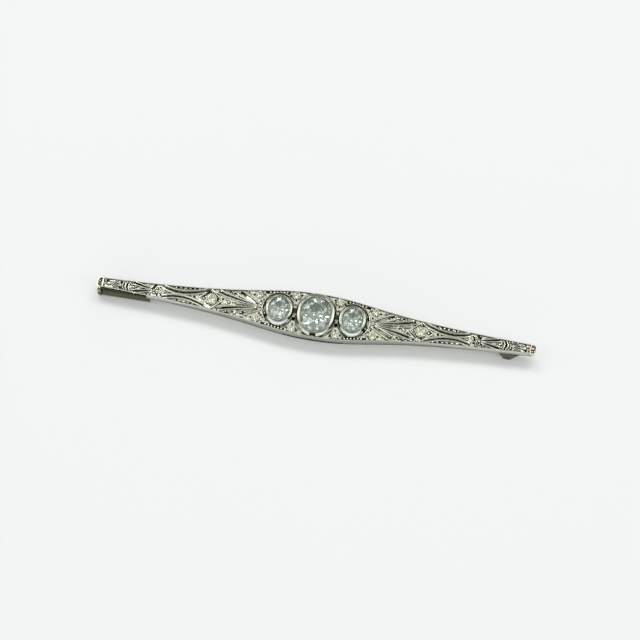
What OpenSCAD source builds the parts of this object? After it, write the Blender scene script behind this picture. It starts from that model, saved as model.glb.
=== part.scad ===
// A slender pierced bar brooch, face up, lying on its back fittings.
// +X runs along the bar, +Y across it, +Z up out of its face, and z = 0 is the surface it lies on.

/* [Bar] */
// Length of the bar from tip to tip
bar_length = 66.5; // [60:0.5:72]
// Half the width of the bar at the middle
half_middle = 3.49; // [3.45:0.01:3.7]
// Half the width of the bar at its tips
half_tip = 0.72; // [0.7:0.01:0.8]
// Height of the back of the bar above the surface
back_z = 2.45; // [2.3:0.05:2.6]
// Thickness of the bar up to its ground, between the raised lines
ground_t = 1.05; // [0.9:0.05:1.3]
// How much deeper the bar is at its middle than at its ends
belly = 0.45; // [0.35:0.05:0.5]
// Height of the raised lines over the ground
relief_h = 0.15; // [0.1:0.01:0.25]
// Width of the raised border along the outline
border_w = 0.14; // [0.1:0.01:0.18]

/* [Main diamonds] */
// Girdle radius of the centre diamond
centre_r = 2.44; // [2.4:0.01:2.5]
// Girdle radius of each side diamond
side_r = 1.66; // [1.6:0.01:1.7]
// How much longer the centre diamond's half length is across the bar
centre_stretch = 0.27; // [0.05:0.01:0.3]
// How much longer each side diamond's half length is across the bar
side_stretch = 0.13; // [0.05:0.01:0.2]
// Distance of each side diamond from the centre
side_x = 5.55; // [5.5:0.01:5.6]
// Height of the main girdles over the ground
girdle_rise = 0.80; // [0.7:0.01:0.9]
// Thickness of a collet's wall outside its diamond
collet_wall = 0.36; // [0.3:0.01:0.4]
// How far a collet's skirt spreads at its foot
skirt_spread = 0.30; // [0.22:0.01:0.3]

/* [Small diamonds] */
// Girdle radius of the diamonds between the collets
inner_cell_r = 0.50; // [0.4:0.01:0.52]
// Girdle radius of the diamonds outside the collets
outer_cell_r = 0.46; // [0.4:0.01:0.5]
// Girdle radius of the diamond in each lozenge
lozenge_r = 0.72; // [0.6:0.01:0.74]
// Girdle radius of the smallest diamonds, near the tips
tip_r = 0.32; // [0.27:0.01:0.34]

/* [Fittings] */
// Length of the catch from the left tip
catch_length = 8.0; // [7:0.1:9]
// Outer radius of the catch's tube
catch_r = 1.00; // [0.95:0.01:1.02]
// Radius of the pin stem
pin_r = 0.35; // [0.3:0.01:0.38]
// Height of the pin stem's axis above the surface
pin_z = 0.93; // [0.90:0.01:0.94]
// Place of the hinge along the bar
hinge_x = 29.2; // [28.8:0.1:29.6]

/* [Hidden] */

half_length = bar_length / 2;
ground_z = back_z + ground_t;
top_z = ground_z + relief_h;
girdle_z = ground_z + girdle_rise;
overlap = 0.02;
clear = 0.02;
// The lowest level of the bar, the start of every cut through it, and the collets' lower edge.
belly_z = back_z - belly;
cut_z = belly_z - 0.5;
collet_z = back_z - 0.3;

metal = [0.72, 0.71, 0.66];
fitting_metal = [0.52, 0.50, 0.42];
diamond = [0.86, 0.91, 0.93];

// The outline: one cubic curve for each quarter, from the middle out to the tip.
shoulder_x = 8.4;
shoulder_half = 1.49;
tip_round = 0.32;
outline_steps = 22;

function cubic(a, b, c, d, t) = let (s = 1 - t)
    s * s * s * a + 3 * s * s * t * b + 3 * s * t * t * c + t * t * t * d;
function outline_x(t) = cubic(0, shoulder_x, shoulder_x, half_length, t);
function outline_half(t) = cubic(half_middle, half_middle, shoulder_half, half_tip, t);
function outline_t(x, low = 0, high = 1, left = 24) = let (mid = (low + high) / 2)
    left == 0 ? mid
    : outline_x(mid) < x ? outline_t(x, mid, high, left - 1)
    : outline_t(x, low, mid, left - 1);
function half_width(x) = outline_half(outline_t(abs(x)));

// One quarter of the outline, drawn in by inset, from the middle to the rounded tip.
function quarter(inset) = let (
    r = tip_round - inset * 0.5,
    end_x = half_length - inset,
    last_t = outline_t(end_x - r),
    corner_y = half_width(end_x - r) - inset - r)
    concat(
        [for (i = [0:outline_steps]) let (t = last_t * i / outline_steps)
            [outline_x(t), outline_half(t) - inset]],
        [for (a = [60, 30, 0]) [end_x - r + r * cos(a), corner_y + r * sin(a)]]);
function flip(points, sx, sy) = [for (p = points) [p[0] * sx, p[1] * sy]];
function backwards(points) = [for (i = [len(points) - 1:-1:0]) points[i]];
function without_first(points) = [for (i = [1:len(points) - 1]) points[i]];

module outline(inset = 0) {
    right = quarter(inset);
    far_edge = concat(backwards(flip(without_first(right), -1, 1)), right);
    polygon(concat(far_edge, backwards(flip(far_edge, 1, -1))));
}

// A curve through three control points, and a ribbon of changing width along it.
curve_steps = 8;
function along(c, t) = (1 - t) * (1 - t) * c[0] + 2 * t * (1 - t) * c[1] + t * t * c[2];
function slope(c, t) = 2 * (1 - t) * (c[1] - c[0]) + 2 * t * (c[2] - c[1]);
function normal(c, t) = let (d = slope(c, t)) [-d[1], d[0]] / norm(d);
function straight(a, b) = [a, (a + b) / 2, b];
function moved(c, dx, dy) = [for (p = c) p + [dx, dy]];

// w is the widths at the start, the middle and the end.
module ribbon(c, w) {
    steps = [for (i = [0:curve_steps]) i / curve_steps];
    function half_at(t) = along([w[0], w[1], w[2]], t) / 2;
    polygon(concat(
        [for (t = steps) along(c, t) + normal(c, t) * half_at(t)],
        [for (t = backwards(steps)) along(c, t) - normal(c, t) * half_at(t)]));
}

// Repeats for the two halves, the two edges, or all four quarters of the pattern.
module both_ends() {
    children();
    mirror([1, 0]) children();
}
module both_edges() {
    children();
    mirror([0, 1]) children();
}
module all_quarters() {
    both_ends() both_edges() children();
}

// Curves of the pierced pattern, in the quarter x > 0, y > 0.
crescent = [[16.45, 1.36], [20.3, -0.40], [23.4, 0.88]];
flank = [[10.5, 0.34], [13.2, 0.78], [14.95, 1.42]];
spray = [[8.75, 0.36], [10.3, 1.12], [11.7, 1.84]];
arrow = straight([25.55, 0.22], [27.75, 0.68]);
end_bar = [[28.45, -0.68], [29.05, 0], [28.45, 0.68]];
half_bar = [[24.35, 0.93], [24.75, 0.5], [24.78, 0.08]];
lozenge_outer = straight([17.4, 0.56], [16.2, 1.32]);
lozenge_inner = straight([14.5, 0.42], [15.3, 1.12]);

// Places of the drilled holes, x then y.
row_x = [17.5, 18.2, 18.9, 19.6, 20.3, 21.0];
row_inset = 0.29;
row_r = 0.17;
cell_holes = [[9.62, 1.80, 0.17], [7.98, 2.0, 0.17], [8.45, 0.98, 0.17]];
inner_cell_holes = [[4.13, 2.52, 0.17], [2.55, 2.88, 0.15], [3.25, 1.86, 0.15]];
left_holes = [[-14.82, 0.14, 0.15], [-14.55, -0.52, 0.16], [-17.2, 0, 0.13], [-16.72, -0.84, 0.14]];
right_holes = [[15.3, 1.10, 0.14], [16.13, 1.0, 0.14], [16.13, -1.0, 0.14]];
spray_holes = [[11.7, 1.12, 0.16], [12.45, 1.44, 0.17], [13.15, 1.64, 0.16]];
end_holes = [[29.55, 0.46, 0.14]];
middle_holes = [[11.2, 0.14], [12.6, 0.15], [18.4, 0.15], [22.3, 0.14], [27.3, 0.13]];
tip_holes = [[23.72, 0.56, 0.14]];
scroll_holes = [[31.6, 0.46, 0.13]];

// Openings beside the collets.
gap_x = (centre_r + side_x - side_r) / 2;
gap_w = 0.66;
gap_far = 0.38;
gap_near = 0.50;
notch_half = 0.48;
notch_y = centre_r + centre_stretch + collet_wall - 0.10;
notch_depth = 0.36;
slit_r = side_r + collet_wall + 0.33;
slit_w = 0.30;
slit_spans = [[-22, 22], [-40, -28]];

module dot(p) {
    translate([p[0], p[1]]) circle(r = p[2], $fn = 24);
}

module arc_slit(span) {
    steps = [for (i = [0:6]) span[0] + (span[1] - span[0]) * i / 6];
    translate([side_x, 0]) polygon(concat(
        [for (a = steps) (slit_r + slit_w / 2) * [cos(a), sin(a)]],
        [for (a = backwards(steps)) (slit_r - slit_w / 2) * [cos(a), sin(a)]]));
}

module pierced_slots() {
    all_quarters() {
        ribbon(crescent, [0.14, 0.34, 0.16]);
        ribbon(flank, [0.12, 0.30, 0.28]);
        ribbon(spray, [0.12, 0.26, 0.30]);
        ribbon(arrow, [0.21, 0.21, 0.21]);
    }
    both_ends() {
        ribbon(end_bar, [0.24, 0.32, 0.24]);
        ribbon(half_bar, [0.24, 0.26, 0.20]);
    }
    // The left lozenge is open along its far outer edge, the right one along its near inner edge,
    // and the far slot of the left spray is wider than the others.
    mirror([1, 0]) ribbon(lozenge_outer, [0.16, 0.34, 0.46]);
    mirror([0, 1]) ribbon(lozenge_inner, [0.18, 0.24, 0.18]);
    mirror([1, 0]) ribbon(spray, [0.12, 0.30, 0.50]);
}

module drilled_holes() {
    all_quarters() {
        for (x = row_x) dot([x, half_width(x) - row_inset, row_r]);
        for (p = cell_holes) dot(p);
        for (p = inner_cell_holes) dot(p);
        for (p = spray_holes) dot(p);
        for (p = end_holes) dot(p);
    }
    both_ends() {
        for (m = middle_holes) dot([m[0], 0, m[1]]);
        for (p = tip_holes) dot(p);
        for (p = scroll_holes) dot(p);
    }
    for (p = left_holes) dot(p);
    for (p = right_holes) dot(p);
}

module collet_openings() {
    both_ends() {
        translate([gap_x - gap_w / 2, -gap_near]) square([gap_w, gap_far + gap_near]);
        both_edges() polygon([[gap_x - 0.24, 0.98], [gap_x + 0.36, 0.98], [gap_x + 0.06, 1.42]]);
        for (s = slit_spans) arc_slit(s);
    }
}

// Raised lines of the pattern, drawn flat: the ribs beside the slots, the frames and the leaves.
rib_w = 0.16;
crescent_gap = 0.30;
module raised_lines() {
    difference() {
        outline();
        outline(border_w);
    }
    all_quarters() {
        ribbon(moved(crescent, 0, crescent_gap), [rib_w, rib_w, rib_w]);
        ribbon(moved(crescent, 0, -crescent_gap), [rib_w, rib_w, rib_w]);
        ribbon([[9.0, 0.10], [12.9, 0.42], [15.9, 1.36]], [rib_w, rib_w, rib_w]);
        ribbon([[9.2, 0.30], [12.9, 1.02], [14.7, 1.66]], [rib_w, rib_w, rib_w]);
        ribbon([[8.9, 0.18], [10.8, 0.80], [12.3, 1.62]], [0.10, 0.34, 0.12]);
        ribbon([[8.3, 0.42], [9.9, 1.30], [11.2, 1.98]], [rib_w, rib_w, rib_w]);
        ribbon(straight([14.2, 0], [15.9, 1.54]), [rib_w, rib_w, rib_w]);
        ribbon(straight([15.9, 1.54], [17.75, 0]), [rib_w, rib_w, rib_w]);
        ribbon(straight([25.2, 0.02], [27.9, 0.45]), [0.12, 0.16, 0.16]);
        ribbon(straight([25.0, 0.30], [27.7, 0.93]), [rib_w, rib_w, rib_w]);
        ribbon([[29.6, 0.02], [30.4, 0.62], [31.2, 0.02]], [0.10, 0.16, 0.10]);
    }
    both_ends() {
        ribbon(moved(end_bar, 0.24, 0), [rib_w, rib_w, rib_w]);
        ribbon(moved(end_bar, -0.24, 0), [rib_w, rib_w, rib_w]);
        ribbon(straight([29.8, 0], [31.0, 0]), [0.08, 0.20, 0.08]);
        ribbon(straight([8.2, 0], [12.2, 0]), [0.10, 0.16, 0.08]);
        ribbon(straight([32.4, -0.6], [32.4, 0.6]), [rib_w, rib_w, rib_w]);
        translate([31.5, 0]) circle(r = 0.27, $fn = 24);
    }
}

// Places of the small diamonds: x, y and girdle radius.
inner_cell = [3.33, 2.62];
outer_cell = [8.85, 1.90];
cell_places = [
    [-inner_cell[0], inner_cell[1], inner_cell_r], [inner_cell[0], inner_cell[1], inner_cell_r],
    [-inner_cell[0], -inner_cell[1], inner_cell_r], [inner_cell[0], -inner_cell[1], inner_cell_r],
    [-outer_cell[0], outer_cell[1], outer_cell_r], [outer_cell[0], outer_cell[1], outer_cell_r],
    [-outer_cell[0], -outer_cell[1], outer_cell_r], [outer_cell[0], -outer_cell[1], outer_cell_r]];
lozenge_x = 15.85;
tip_x = 23.4;
small_places = concat(cell_places, [
    [-lozenge_x, 0, lozenge_r], [lozenge_x, 0, lozenge_r], [-tip_x, 0, tip_r], [tip_x, 0, tip_r]]);
seat_wall = 0.09;
seat_top = top_z + 0.05;
small_girdle_z = top_z + 0.02;

// Proportions of a cut stone, in girdle radii.
cut_table = 0.52;
cut_crown = 0.32;
cut_star = 0.78;
cut_culet = 0.06;
cut_depth = 0.80;
cut_lower = 0.30;
cut_girdle = 0.03;
cut_step = 22.5;
crown_slope = cut_crown / (1 - cut_table);
steepest_crown = crown_slope * (1 - cut_star * cos(cut_step)) / (1 - cut_star);

// An old cut diamond with its girdle centred on the origin: a small high table in eight stars and
// eight kites, sixteen girdle facets above and below, and a pavilion with an open culet.
// Across the bar it is longer by stretch at each side.
module cut_diamond(r, stretch = 0) {
    half_girdle = cut_girdle * r;
    across = 1 + stretch / r;
    function ring(radius, z, turn, count) =
        [for (i = [0:count - 1]) let (a = turn + i * 360 / count)
            [radius * cos(a), across * radius * sin(a), z]];
    star_z = half_girdle + crown_slope * (r - cut_star * r * cos(cut_step));
    lower_slope = cut_depth / (1 - cut_culet);
    lower_z = -half_girdle - lower_slope * (r - cut_lower * r * cos(cut_step));
    points = concat(
        ring(cut_table * r, half_girdle + cut_crown * r, 0, 8),
        ring(cut_star * r, star_z, cut_step, 8),
        ring(r, half_girdle, 0, 16),
        ring(r, -half_girdle, 0, 16),
        ring(cut_lower * r, lower_z, cut_step, 8),
        ring(cut_culet * r, -half_girdle - cut_depth * r, 0, 8));
    star = 8;
    upper = 16;
    under = 32;
    low = 48;
    culet = 56;
    faces = concat(
        [[7, 6, 5, 4, 3, 2, 1, 0]],
        [for (i = [0:7]) [i, (i + 1) % 8, star + i]],
        [for (i = [0:7]) [i, star + i, upper + 2 * i]],
        [for (i = [0:7]) [i, upper + 2 * i, star + (i + 7) % 8]],
        [for (i = [0:7]) [star + i, upper + (2 * i + 1) % 16, upper + 2 * i]],
        [for (i = [0:7]) [star + i, upper + (2 * i + 2) % 16, upper + (2 * i + 1) % 16]],
        [for (i = [0:15]) [upper + i, upper + (i + 1) % 16, under + (i + 1) % 16]],
        [for (i = [0:15]) [upper + i, under + (i + 1) % 16, under + i]],
        [for (i = [0:7]) [low + i, under + 2 * i, under + (2 * i + 1) % 16]],
        [for (i = [0:7]) [low + i, under + (2 * i + 1) % 16, under + (2 * i + 2) % 16]],
        [for (i = [0:7]) [culet + i, under + 2 * i, low + i]],
        [for (i = [0:7]) [culet + i, low + (i + 7) % 8, under + 2 * i]],
        [for (i = [0:7]) [culet + i, low + i, culet + (i + 1) % 8]],
        [[for (i = [0:7]) culet + i]]);
    color(diamond) polyhedron(points, [for (f = faces) backwards(f)], convexity = 2);
}

// Radius and depth of the ledge under a stone, which its pavilion just clears.
ledge = 0.70;
function ledge_drop(r) = (cut_girdle + (1 - ledge) * cut_depth / (1 - cut_culet)) * r + 2 * clear;

// A collet for a main stone: an oval tube with a cone seat, a lip over the girdle and a spreading
// skirt. It is two half turns of one section, set apart by stretch at each side, with two straight
// lengths between them.
lip = 0.97;
rim_over = 0.24;
rim_bevel = 0.07;
skirt_drop = 0.16;
skirt_fall = 0.43;
module collet_section(r) {
    outer = r + collet_wall;
    under = girdle_z - ledge_drop(r);
    over = girdle_z + cut_girdle * r + clear;
    crown_rise = steepest_crown * (1 - lip) * r;
    polygon([
        [ledge * r, collet_z], [ledge * r, under],
        [r + clear, girdle_z - cut_girdle * r - 2 * clear], [r + clear, over],
        [lip * r, over + crown_rise], [lip * r, girdle_z + rim_over],
        [outer - rim_bevel, girdle_z + rim_over], [outer, girdle_z + rim_over - rim_bevel],
        [outer, girdle_z - skirt_drop], [outer + skirt_spread, girdle_z - skirt_drop - skirt_fall],
        [outer + skirt_spread, collet_z]]);
}

module collet(r, stretch) {
    for (turn = [0, 180]) rotate([0, 0, turn]) {
        translate([0, stretch, 0]) rotate_extrude(angle = 180, $fn = 96) collet_section(r);
        translate([0, stretch, 0]) rotate([90, 0, 0]) linear_extrude(2 * stretch) collet_section(r);
    }
}

module main_collets() {
    collet(centre_r, centre_stretch);
    for (s = [-1, 1]) translate([s * side_x, 0, 0]) collet(side_r, side_stretch);
}

// The raised seats of the small stones, and the pits drilled down through them.
module small_seats() {
    for (p = small_places)
        translate([p[0], p[1], ground_z - overlap])
            cylinder(r = p[2] + seat_wall, h = seat_top - ground_z + overlap, $fn = 32);
}
module small_pits() {
    for (p = small_places) translate([p[0], p[1], 0]) {
        pit_z = small_girdle_z - ledge_drop(p[2]);
        translate([0, 0, cut_z]) cylinder(r = ledge * p[2], h = 3, $fn = 32);
        translate([0, 0, pit_z]) cylinder(r = p[2] + clear, h = 1, $fn = 32);
    }
}

// Short bars that tie the collets together, at either side of the square openings: each tie's near
// edge and its width.
ties_y = [[0.44, 0.50], [-0.90, 0.33]];
tie_rise = 0.32;
module ties() {
    for (sx = [-1, 1]) for (tie = ties_y)
        translate([sx * gap_x - 0.5, tie[0], ground_z - overlap])
            cube([1.0, tie[1], relief_h + tie_rise + overlap]);
}

through = belly + ground_t + 2;
module through_cut() {
    translate([0, 0, cut_z]) linear_extrude(through) children();
}

// The back falls to its middle in shallow steps of slope: x, then the share of the belly there.
belly_line = [[24.5, 0], [15, 0.62], [8.2, 1]];
module belly_plate() {
    end_side = [for (p = belly_line) [p[0], back_z - p[1] * belly]];
    intersection() {
        translate([0, 0, belly_z]) linear_extrude(belly + overlap) outline();
        translate([0, 2 * half_middle, 0]) rotate([90, 0, 0]) linear_extrude(4 * half_middle)
            polygon(concat([[-belly_line[0][0], back_z + 1], [belly_line[0][0], back_z + 1]],
                end_side, flip(backwards(end_side), -1, 1)));
    }
}

// The stones' wells through the plate, before the collets are set into them.
module wells() {
    for (place = [[0, centre_r, centre_stretch], [-side_x, side_r, side_stretch], [side_x, side_r, side_stretch]])
        translate([place[0], 0, cut_z]) linear_extrude(through) {
            well_r = place[1] + collet_wall / 2;
            for (s = [-1, 1]) translate([0, s * place[2]]) circle(r = well_r, $fn = 96);
            square([2 * well_r, 2 * place[2]], center = true);
        }
}

module pierced_bar() {
    color(metal) difference() {
        union() {
            difference() {
                union() {
                    translate([0, 0, back_z]) linear_extrude(ground_t) outline();
                    belly_plate();
                    translate([0, 0, ground_z - overlap]) linear_extrude(relief_h + overlap) intersection() {
                        raised_lines();
                        outline();
                    }
                    small_seats();
                    ties();
                }
                wells();
            }
            main_collets();
        }
        through_cut() pierced_slots();
        through_cut() drilled_holes();
        through_cut() collet_openings();
        small_pits();
        for (s = [-1, 1]) translate([-notch_half, s > 0 ? notch_y : -notch_y - notch_depth, cut_z])
            cube([2 * notch_half, notch_depth, girdle_z - skirt_drop - cut_z]);
    }
}

module set_diamond(x, y, z, r, stretch = 0) {
    translate([x, y, z]) cut_diamond(r, stretch);
}
module cell_diamond(i) {
    p = cell_places[i - 1];
    set_diamond(p[0], p[1], small_girdle_z, p[2]);
}

// The catch: a tube soldered under the left end by a web, with an end plate across a narrow slot.
end_plate_t = 0.50;
end_plate_w = 1.7;
slot_w = 0.20;
core_w = 0.6;
bore_r = 0.50;
bore_depth = 5.2;
web_w = 1.1;
chamfer = 0.45;
catch_left = -half_length + 0.05;
catch_right = catch_left + catch_length;
module catch() {
    color(fitting_metal) difference() {
        intersection() {
            union() {
                translate([catch_left, 0, pin_z]) rotate([0, 90, 0])
                    cylinder(r = catch_r, h = catch_length, $fn = 48);
                translate([catch_left, -web_w / 2, catch_r]) cube([catch_length, web_w, back_z - catch_r]);
                translate([catch_left, -end_plate_w / 2, 0]) cube([end_plate_t, end_plate_w, back_z]);
            }
            // The foot is filed flat, and the right end slants back towards it.
            translate([catch_left, -2, 0]) cube([catch_length, 4, back_z]);
        }
        translate([catch_left + end_plate_t, -2, -1]) cube([slot_w, 2 - core_w / 2, 4]);
        translate([catch_left + end_plate_t, core_w / 2, -1]) cube([slot_w, 2 - core_w / 2, 4]);
        translate([catch_right - bore_depth, 0, pin_z]) rotate([0, 90, 0])
            cylinder(r = bore_r, h = bore_depth + 1, $fn = 32);
        translate([catch_right - chamfer, 0, 0]) rotate([0, 30, 0]) translate([0, -2, -2]) cube([2, 4, 4]);
    }
}

// The hinge: a foot plate with two rounded ears that hold the rivet.
foot_length = 3.1;
foot_t = 0.30;
foot_w = 1.7;
ear_t = 0.34;
ear_gap = 1.10;
ear_r = 0.68;
ear_top = 1.42;
rivet_r = 0.25;
knuckle_r = 0.50;
fit_clear = 0.03;
hinge_z = 0.55;
module ear(y) {
    shoulder = back_z - foot_t;
    translate([hinge_x, y, 0]) difference() {
        union() {
            translate([0, ear_t, hinge_z]) rotate([90, 0, 0]) cylinder(r = ear_r, h = ear_t, $fn = 48);
            translate([0, ear_t, 0]) rotate([90, 0, 0]) linear_extrude(ear_t) polygon([
                [-ear_r, hinge_z], [ear_r, hinge_z], [ear_top, shoulder + overlap], [-ear_top, shoulder + overlap]]);
        }
        translate([0, 2, hinge_z]) rotate([90, 0, 0]) cylinder(r = rivet_r + fit_clear, h = 4, $fn = 32);
        // The feet of the ears are filed flat where they rest.
        translate([-2, -1, -2]) cube([4, 2, 2]);
    }
}
module hinge() {
    color(fitting_metal) {
        translate([hinge_x - 1.45, -foot_w / 2, back_z - foot_t]) cube([foot_length, foot_w, foot_t]);
        ear(ear_gap / 2);
        ear(-ear_gap / 2 - ear_t);
    }
}

module hinge_rivet() {
    length = ear_gap + 2 * ear_t + 0.1;
    color(fitting_metal) translate([hinge_x, length / 2, hinge_z]) rotate([90, 0, 0])
        cylinder(r = rivet_r, h = length, $fn = 32);
}

// The pin stem: a knuckle on the rivet, a plain round stem and a tapered point inside the catch.
point_length = 3.0;
pin_tip_x = catch_right - bore_depth + 0.5;
module pin_stem() {
    color(fitting_metal) difference() {
        union() {
            translate([hinge_x, (ear_gap - 2 * fit_clear) / 2, hinge_z]) rotate([90, 0, 0])
                cylinder(r = knuckle_r, h = ear_gap - 2 * fit_clear, $fn = 48);
            translate([pin_tip_x + point_length, 0, pin_z]) rotate([0, 90, 0])
                cylinder(r = pin_r, h = hinge_x - pin_tip_x - point_length, $fn = 32);
            translate([pin_tip_x, 0, pin_z]) rotate([0, 90, 0])
                cylinder(r1 = 0.08, r2 = pin_r, h = point_length, $fn = 32);
        }
        translate([hinge_x, 2, hinge_z]) rotate([90, 0, 0]) cylinder(r = rivet_r + fit_clear, h = 4, $fn = 32);
    }
}

pierced_bar();
set_diamond(0, 0, girdle_z, centre_r, centre_stretch);  // centre_diamond
set_diamond(-side_x, 0, girdle_z, side_r, side_stretch);  // left_diamond
set_diamond(side_x, 0, girdle_z, side_r, side_stretch);  // right_diamond
cell_diamond(1);  // cell_diamond_1
cell_diamond(2);  // cell_diamond_2
cell_diamond(3);  // cell_diamond_3
cell_diamond(4);  // cell_diamond_4
cell_diamond(5);  // cell_diamond_5
cell_diamond(6);  // cell_diamond_6
cell_diamond(7);  // cell_diamond_7
cell_diamond(8);  // cell_diamond_8
set_diamond(-lozenge_x, 0, small_girdle_z, lozenge_r);  // lozenge_diamond_left
set_diamond(lozenge_x, 0, small_girdle_z, lozenge_r);  // lozenge_diamond_right
set_diamond(-tip_x, 0, small_girdle_z, tip_r);  // tip_diamond_left
set_diamond(tip_x, 0, small_girdle_z, tip_r);  // tip_diamond_right
catch();
hinge();
hinge_rivet();
pin_stem();
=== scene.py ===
"""Dresses the diamond bar brooch: relief, millegrain, finishes, floor, light and camera.

Sizes are in millimetres and MM turns them into metres. A name that ends in _m is in metres, angles are
in degrees, and a noise scale counts per metre.
"""

import logging
import math
from dataclasses import dataclass, field
from enum import Enum
from types import MappingProxyType
from typing import Iterable, Mapping, Sequence

import bpy
import numpy as np
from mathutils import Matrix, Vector


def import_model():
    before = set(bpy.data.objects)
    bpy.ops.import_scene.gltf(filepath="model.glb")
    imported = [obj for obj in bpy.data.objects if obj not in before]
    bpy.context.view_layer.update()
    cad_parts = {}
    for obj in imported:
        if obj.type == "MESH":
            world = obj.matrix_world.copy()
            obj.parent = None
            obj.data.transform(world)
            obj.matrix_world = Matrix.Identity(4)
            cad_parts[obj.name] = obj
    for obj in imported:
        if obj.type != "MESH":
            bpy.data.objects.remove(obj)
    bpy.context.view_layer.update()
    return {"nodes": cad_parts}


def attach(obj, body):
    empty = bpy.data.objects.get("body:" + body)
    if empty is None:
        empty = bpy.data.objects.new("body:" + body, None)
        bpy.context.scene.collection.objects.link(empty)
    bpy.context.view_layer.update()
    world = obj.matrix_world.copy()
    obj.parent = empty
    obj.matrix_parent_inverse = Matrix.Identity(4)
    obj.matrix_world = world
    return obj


LOG = logging.getLogger("brooch")
MM = 0.001
Point = tuple[float, float]
Triple = tuple[float, float, float]
Colour = tuple[float, float, float]
Curve = tuple[Point, Point, Point]
Width = float | Triple
Face = tuple[int, ...]
Inputs = Mapping[str | int, object]
# x, y, radius
Disc = tuple[float, float, float]
# x and y of both ends, width
Leaf = tuple[float, float, float, float, float]

# signs of x and y in the four quarters of the bar, and at its two ends
QUARTERS = ((1, 1), (-1, 1), (1, -1), (-1, -1))
ENDS = ((1, 1), (-1, 1))


class Profile(Enum):
    """Cross sections of a raised line, as (share of half width, share of height)."""

    ROUND = ((-1.0, 0.0), (-0.94, 0.45), (-0.76, 0.78), (-0.40, 0.96), (0.0, 1.0),
             (0.40, 0.96), (0.76, 0.78), (0.94, 0.45), (1.0, 0.0))
    GABLE = ((-1.0, 0.0), (-0.88, 0.38), (0.0, 1.0), (0.88, 0.38), (1.0, 0.0))
    CROWN = ((-1.0, 0.0), (-0.6, 0.7), (0.0, 1.0), (0.6, 0.7), (1.0, 0.0))
    WEDGE = ((-1.0, 0.0), (-0.96, 0.06), (0.88, 1.0), (1.0, 0.0))


@dataclass(frozen=True)
class BarForm:
    """The bar's own sizes, which the raised work follows."""

    half_length: float = 33.25
    half_middle: float = 3.49
    shoulder_x: float = 8.4
    shoulder_half: float = 1.49
    half_tip: float = 0.72
    ground_z: float = 3.50
    top_z: float = 3.65
    halvings: int = 24

    def _cubic(self, a: float, b: float, c: float, d: float, t: float) -> float:
        """A cubic curve's value at t."""
        s = 1.0 - t
        return s**3 * a + 3 * s * s * t * b + 3 * s * t * t * c + t**3 * d

    def half_width(self, x: float) -> float:
        """Half the bar's width at x.

        Args:
            x: place along the bar.

        Returns:
            The distance from the middle line to the outline.
        """
        low, high = 0.0, 1.0
        for _ in range(self.halvings):
            mid = (low + high) / 2
            if self._cubic(0.0, self.shoulder_x, self.shoulder_x, self.half_length, mid) < abs(x):
                low = mid
            else:
                high = mid
        return self._cubic(self.half_middle, self.half_middle, self.shoulder_half, self.half_tip, low)


BAR = BarForm()


def along(curve: Curve, t: float) -> np.ndarray:
    """The point at t on a curve through three control points."""
    a, b, c = (np.array(p, float) for p in curve)
    return (1 - t) ** 2 * a + 2 * t * (1 - t) * b + t * t * c


def straight(a: Point, b: Point) -> Curve:
    """A curve that is the straight line from a to b."""
    return (a, ((a[0] + b[0]) / 2, (a[1] + b[1]) / 2), b)


def moved(curve: Curve, dx: float, dy: float) -> Curve:
    """The curve shifted by dx and dy."""
    return tuple((p[0] + dx, p[1] + dy) for p in curve)


def flipped(curve: Curve, sx: int, sy: int) -> Curve:
    """The curve mirrored along and across the bar where sx or sy is -1."""
    return tuple((p[0] * sx, p[1] * sy) for p in curve)


def circle(x: float, y: float, r: float, z: float, sides: int) -> list[Triple]:
    """Points round a level circle."""
    turns = (2 * math.pi * i / sides for i in range(sides))
    return [(x + r * math.cos(a), y + r * math.sin(a), z) for a in turns]


def skin(sections: int, sides: int) -> list[Face]:
    """Faces between closed sections that have the same number of points.

    Args:
        sections: how many sections there are.
        sides: how many points each has.

    Returns:
        The faces, by places in the list of all points, section by section.
    """
    return [
        (i * sides + j, i * sides + (j + 1) % sides, (i + 1) * sides + (j + 1) % sides, (i + 1) * sides + j)
        for i in range(sections - 1) for j in range(sides)
    ]


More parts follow.
